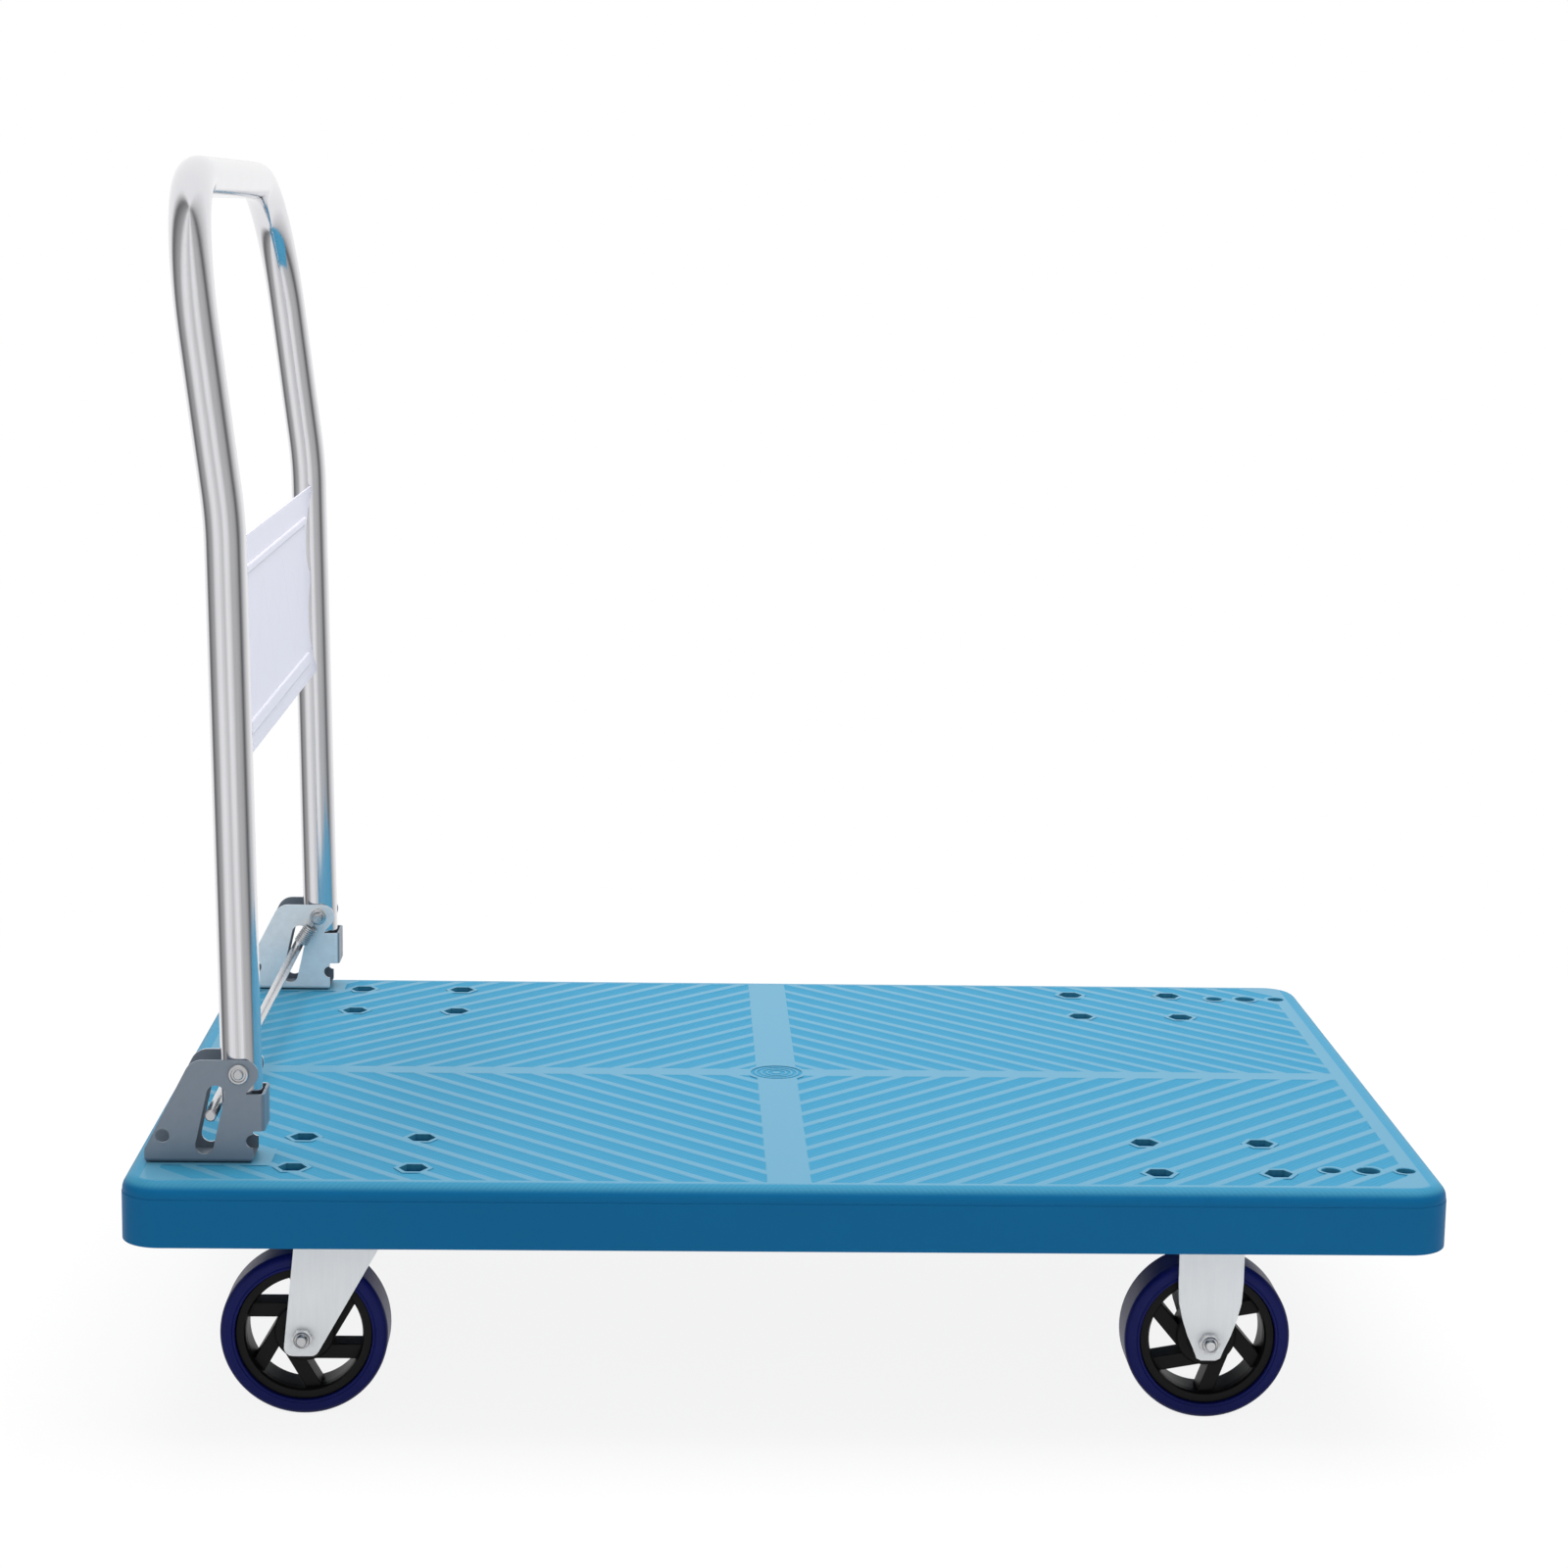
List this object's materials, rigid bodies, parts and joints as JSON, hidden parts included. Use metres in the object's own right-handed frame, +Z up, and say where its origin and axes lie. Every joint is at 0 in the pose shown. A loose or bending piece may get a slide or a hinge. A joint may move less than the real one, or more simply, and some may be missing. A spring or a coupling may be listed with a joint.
{
  "type": "folding platform cart",
  "caption": "Flat platform cart with a folding tube handle, foot-released latch bar, swivel casters at the handle end and fixed casters in front.",
  "frame": {"origin": "on the ground below the middle of the deck", "axes": "+X to the front (fixed casters), -X the folding handle, +Y the left side, +Z up"},
  "size_m": [0.9, 0.6, 0.8599],
  "materials": {
    "deck_plastic": "satin moulded blue polypropylene",
    "bracket_steel": "grey zinc-plated pressed steel",
    "chrome_tube": "satin plated tube",
    "panel_paint": "pale satin paint",
    "tread_polyurethane": "glossy dark blue polyurethane",
    "rim_plastic": "black moulded nylon",
    "zinc_fork": "light zinc-plated pressed steel",
    "zinc_fasteners": "bright zinc-plated steel"
  },
  "bodies": {
    "root": {"deck": "deck_plastic", "hinge_bracket_right": "bracket_steel", "bracket_bolt_right_rear": "zinc_fasteners", "bracket_bolt_right_front": "zinc_fasteners", "pivot_bolt_right": "zinc_fasteners", "pivot_nut_right": "zinc_fasteners", "swivel_plate_right": "zinc_fork", "swivel_kingpin_right": "zinc_fasteners", "fixed_fork_right": "zinc_fork", "fixed_axle_bolt_right": "zinc_fasteners", "fixed_axle_nut_right": "zinc_fasteners", "fixed_axle_sleeve_right": "zinc_fasteners", "swivel_mount_bolt_right_rear_right": "zinc_fasteners", "swivel_mount_bolt_right_rear_left": "zinc_fasteners", "swivel_mount_bolt_right_front_right": "zinc_fasteners", "swivel_mount_bolt_right_front_left": "zinc_fasteners", "fixed_mount_bolt_right_rear_right": "zinc_fasteners", "fixed_mount_bolt_right_rear_left": "zinc_fasteners", "fixed_mount_bolt_right_front_right": "zinc_fasteners", "fixed_mount_bolt_right_front_left": "zinc_fasteners", "hinge_bracket_left": "bracket_steel", "bracket_bolt_left_rear": "zinc_fasteners", "bracket_bolt_left_front": "zinc_fasteners", "pivot_bolt_left": "zinc_fasteners", "pivot_nut_left": "zinc_fasteners", "swivel_plate_left": "zinc_fork", "swivel_kingpin_left": "zinc_fasteners", "fixed_fork_left": "zinc_fork", "fixed_axle_bolt_left": "zinc_fasteners", "fixed_axle_nut_left": "zinc_fasteners", "fixed_axle_sleeve_left": "zinc_fasteners", "swivel_mount_bolt_left_rear_right": "zinc_fasteners", "swivel_mount_bolt_left_rear_left": "zinc_fasteners", "swivel_mount_bolt_left_front_right": "zinc_fasteners", "swivel_mount_bolt_left_front_left": "zinc_fasteners", "fixed_mount_bolt_left_rear_right": "zinc_fasteners", "fixed_mount_bolt_left_rear_left": "zinc_fasteners", "fixed_mount_bolt_left_front_right": "zinc_fasteners", "fixed_mount_bolt_left_front_left": "zinc_fasteners"},
    "handle": {"handle_tube": "chrome_tube", "handle_panel": "panel_paint"},
    "latch": {"latch_bar": "zinc_fasteners", "latch_spring_right": "zinc_fasteners", "latch_spring_left": "zinc_fasteners"},
    "swivel_right": {"swivel_fork_right": "zinc_fork", "swivel_axle_bolt_right": "zinc_fasteners", "swivel_axle_nut_right": "zinc_fasteners", "swivel_axle_sleeve_right": "zinc_fasteners"},
    "swivel_wheel_right": {"swivel_wheel_right": "rim_plastic", "swivel_tread_right": "tread_polyurethane"},
    "fixed_wheel_right": {"fixed_wheel_right": "rim_plastic", "fixed_tread_right": "tread_polyurethane"},
    "swivel_left": {"swivel_fork_left": "zinc_fork", "swivel_axle_bolt_left": "zinc_fasteners", "swivel_axle_nut_left": "zinc_fasteners", "swivel_axle_sleeve_left": "zinc_fasteners"},
    "swivel_wheel_left": {"swivel_wheel_left": "rim_plastic", "swivel_tread_left": "tread_polyurethane"},
    "fixed_wheel_left": {"fixed_wheel_left": "rim_plastic", "fixed_tread_left": "tread_polyurethane"}
  },
  "joints": [
    {"name": "handle_fold", "type": "hinge", "parent": "root", "child": "handle", "pos_m": [-0.3736, 0.018, 0.2464], "axis": [0, 1, 0], "range_deg": [0, 90]},
    {"name": "latch_release", "type": "slide", "parent": "root", "child": "latch", "axis": [-0.2182, 0, -0.9759], "range_m": [0, 0.02], "stiffness_N_per_m": 800, "springref_m": -0.02, "deforming": ["latch_spring_right", "latch_spring_left"]},
    {"name": "swivel_turn_right", "type": "hinge", "parent": "root", "child": "swivel_right", "pos_m": [-0.296, -0.222, 0.058], "axis": [0, 0, 1], "continuous": true},
    {"name": "swivel_wheel_spin_right", "type": "hinge", "parent": "swivel_right", "child": "swivel_wheel_right", "pos_m": [-0.3325, -0.222, 0.058], "axis": [0, 1, 0], "continuous": true},
    {"name": "fixed_wheel_spin_right", "type": "hinge", "parent": "root", "child": "fixed_wheel_right", "pos_m": [0.296, -0.222, 0.058], "axis": [0, 1, 0], "continuous": true},
    {"name": "swivel_turn_left", "type": "hinge", "parent": "root", "child": "swivel_left", "pos_m": [-0.296, 0.222, 0.058], "axis": [0, 0, 1], "continuous": true},
    {"name": "swivel_wheel_spin_left", "type": "hinge", "parent": "swivel_left", "child": "swivel_wheel_left", "pos_m": [-0.3325, 0.222, 0.058], "axis": [0, 1, 0], "continuous": true},
    {"name": "fixed_wheel_spin_left", "type": "hinge", "parent": "root", "child": "fixed_wheel_left", "pos_m": [0.296, 0.222, 0.058], "axis": [0, 1, 0], "continuous": true}
  ]
}
